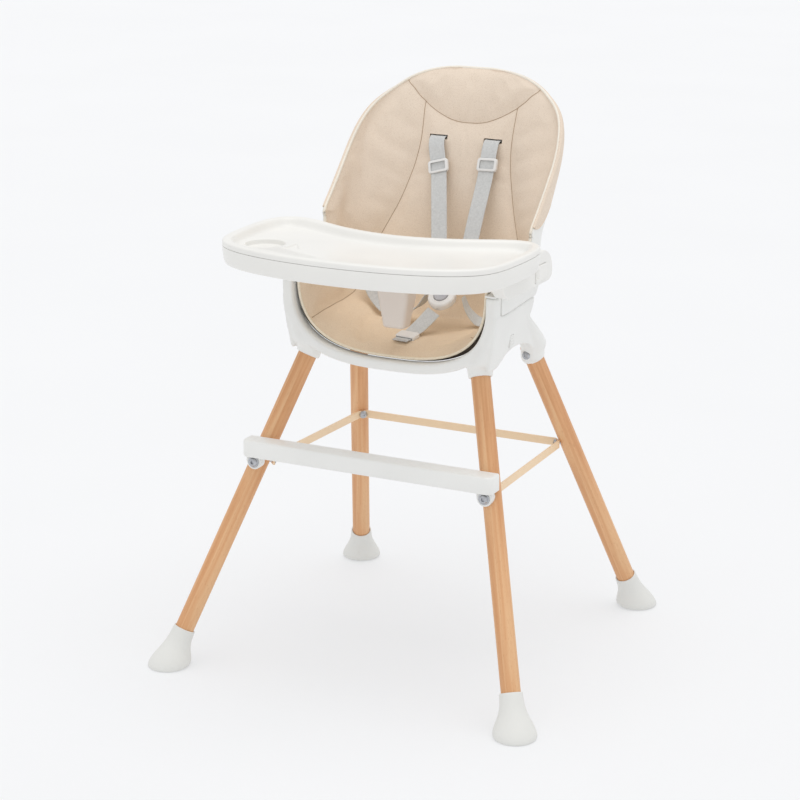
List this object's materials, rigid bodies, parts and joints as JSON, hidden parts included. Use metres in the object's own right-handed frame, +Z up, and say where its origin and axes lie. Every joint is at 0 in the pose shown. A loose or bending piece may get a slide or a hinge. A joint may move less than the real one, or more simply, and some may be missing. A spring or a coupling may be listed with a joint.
{
  "type": "baby high chair",
  "caption": "Baby high chair: splayed beech legs in a moulded base, lift-out padded bucket seat with a five-point harness, footrest, and a slide-on tray with a lift-off liner.",
  "frame": {"origin": "on the floor under the middle of the chair's footprint", "axes": "+Z up, -Y the way the sitter faces, +X to the sitter's left"},
  "size_m": [0.6484, 0.631, 0.8845],
  "materials": {
    "beech": "turned beech with a clear satin lacquer",
    "foot_plastic": "off-white moulded plastic",
    "screw_steel": "zinc-plated steel",
    "brace_paint": "beige powder coat",
    "white_plastic": "white moulded plastic, satin",
    "tray_plastic": "white moulded plastic, polished",
    "guard_plastic": "greyish-white moulded plastic",
    "cover_leather": "cream PU leather, fine grain",
    "webbing": "light grey woven webbing",
    "buckle_plastic": "white moulded plastic",
    "button_plastic": "grey moulded plastic"
  },
  "bodies": {
    "base": {"leg_front_left": "beech", "leg_front_right": "beech", "leg_rear_left": "beech", "leg_rear_right": "beech", "foot_front_left": "foot_plastic", "foot_front_right": "foot_plastic", "foot_rear_left": "foot_plastic", "foot_rear_right": "foot_plastic", "socket_screw_front_left": "screw_steel", "socket_screw_front_right": "screw_steel", "socket_screw_rear_left": "screw_steel", "socket_screw_rear_right": "screw_steel", "brace_screw_front_left": "screw_steel", "brace_screw_front_right": "screw_steel", "brace_screw_rear_left": "screw_steel", "brace_screw_rear_right": "screw_steel", "footrest_screw_left": "screw_steel", "footrest_screw_right": "screw_steel", "leg_brace": "brace_paint", "footrest": "white_plastic", "base_frame": "white_plastic"},
    "latch_left": {"seat_latch_left": "white_plastic"},
    "latch_right": {"seat_latch_right": "white_plastic"},
    "seat": {"seat_shell": "white_plastic", "seat_pad": "cover_leather", "rear_cover": "cover_leather", "shoulder_strap_left": "webbing", "shoulder_strap_right": "webbing", "lap_strap_left": "webbing", "lap_strap_right": "webbing", "crotch_strap": "webbing", "strap_slider_left": "white_plastic", "strap_slider_right": "white_plastic", "crotch_slider": "white_plastic", "strap_anchor_left": "screw_steel", "strap_anchor_right": "screw_steel", "buckle_body": "buckle_plastic", "buckle_tongue_left": "buckle_plastic", "buckle_tongue_right": "buckle_plastic"},
    "buckle_press": {"buckle_button": "button_plastic"},
    "tray": {"tray_base": "white_plastic", "crotch_guard": "guard_plastic"},
    "release_left": {"tray_release_left": "white_plastic"},
    "release_right": {"tray_release_right": "white_plastic"},
    "liner": {"tray_liner": "tray_plastic"}
  },
  "joints": [
    {"name": "seat_lift", "type": "slide", "parent": "base", "child": "seat", "axis": [0, 0, 1], "range_m": [0, 0.14]},
    {"name": "seat_latch_left", "type": "slide", "parent": "base", "child": "latch_left", "axis": [-1, 0, 0], "range_m": [0, 0.004], "stiffness_N_per_m": 600},
    {"name": "seat_latch_right", "type": "slide", "parent": "base", "child": "latch_right", "axis": [1, 0, 0], "range_m": [0, 0.004], "stiffness_N_per_m": 600},
    {"name": "buckle_button_press", "type": "slide", "parent": "seat", "child": "buckle_press", "axis": [0, 0.6198, -0.7848], "range_m": [0, 0.003], "stiffness_N_per_m": 600},
    {"name": "tray_slide", "type": "slide", "parent": "seat", "child": "tray", "axis": [0, -1, 0], "range_m": [0, 0.2]},
    {"name": "tray_release_left", "type": "slide", "parent": "tray", "child": "release_left", "axis": [-1, 0, 0], "range_m": [0, 0.0045], "stiffness_N_per_m": 600},
    {"name": "tray_release_right", "type": "slide", "parent": "tray", "child": "release_right", "axis": [1, 0, 0], "range_m": [0, 0.0045], "stiffness_N_per_m": 600},
    {"name": "liner_lift", "type": "slide", "parent": "tray", "child": "liner", "axis": [0, 0, 1], "range_m": [0, 0.06]}
  ]
}
